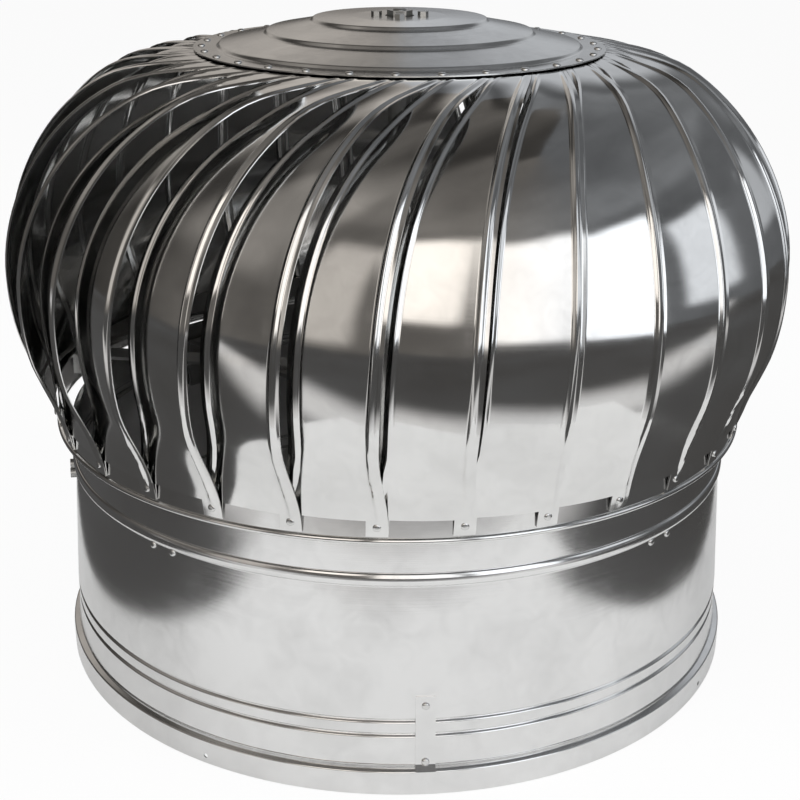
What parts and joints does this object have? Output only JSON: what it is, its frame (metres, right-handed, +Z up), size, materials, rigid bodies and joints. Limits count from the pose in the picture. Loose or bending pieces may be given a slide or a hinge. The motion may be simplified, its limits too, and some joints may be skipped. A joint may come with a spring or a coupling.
{
  "type": "roof turbine ventilator",
  "caption": "Spherical head of curved louvre blades spinning on bearings over a flanged sheet-metal neck, drawing air from a roof duct.",
  "frame": {"origin": "centre of the neck's bottom edge, on the spin axis", "axes": "+Z up along the spin axis, -Y towards the front of the picture, +X to its right"},
  "size_m": [0.6918, 0.6918, 0.5775],
  "materials": {
    "sheet_steel": "mirror-bright stainless sheet",
    "flat_steel": "mill-finish stainless flat bar",
    "fastener_steel": "machined stainless",
    "bearing_steel": "ground steel",
    "housing_metal": "turned aluminium"
  },
  "bodies": {
    "base": {"base_neck": "sheet_steel", "side_screws": "fastener_steel", "seam_strap": "sheet_steel", "cross_bar_lower": "flat_steel", "cross_bar_upper": "flat_steel", "shaft": "fastener_steel", "shaft_clamp_nuts": "fastener_steel", "shaft_clamp_washers": "fastener_steel", "spacer_sleeve": "fastener_steel", "top_washer": "fastener_steel", "top_nut": "fastener_steel", "lower_bearing_inner": "bearing_steel", "upper_bearing_inner": "bearing_steel"},
    "rotor": {"lower_bearing_outer": "bearing_steel", "upper_bearing_outer": "bearing_steel", "upper_housing": "housing_metal", "lower_housing": "housing_metal", "rotor_ring": "sheet_steel", "spider_arm_1": "flat_steel", "spider_arm_2": "flat_steel", "spider_arm_3": "flat_steel", "spider_plate": "flat_steel", "hub_bolts": "fastener_steel", "hub_nuts": "fastener_steel", "top_plate": "sheet_steel", "plate_bolts": "fastener_steel", "blade_01": "sheet_steel", "blade_02": "sheet_steel", "blade_03": "sheet_steel", "blade_04": "sheet_steel", "blade_05": "sheet_steel", "blade_06": "sheet_steel", "blade_07": "sheet_steel", "blade_08": "sheet_steel", "blade_09": "sheet_steel", "blade_10": "sheet_steel", "blade_11": "sheet_steel", "blade_12": "sheet_steel", "blade_13": "sheet_steel", "blade_14": "sheet_steel", "blade_15": "sheet_steel", "blade_16": "sheet_steel", "blade_17": "sheet_steel", "blade_18": "sheet_steel", "blade_19": "sheet_steel", "blade_20": "sheet_steel", "blade_21": "sheet_steel", "blade_22": "sheet_steel", "blade_23": "sheet_steel", "blade_24": "sheet_steel", "blade_25": "sheet_steel", "blade_26": "sheet_steel", "blade_27": "sheet_steel", "blade_28": "sheet_steel", "blade_29": "sheet_steel", "blade_30": "sheet_steel"}
  },
  "joints": [
    {"name": "rotor_spin", "type": "hinge", "parent": "base", "child": "rotor", "pos_m": [0, 0, 0.3], "axis": [0, 0, 1], "continuous": true}
  ]
}
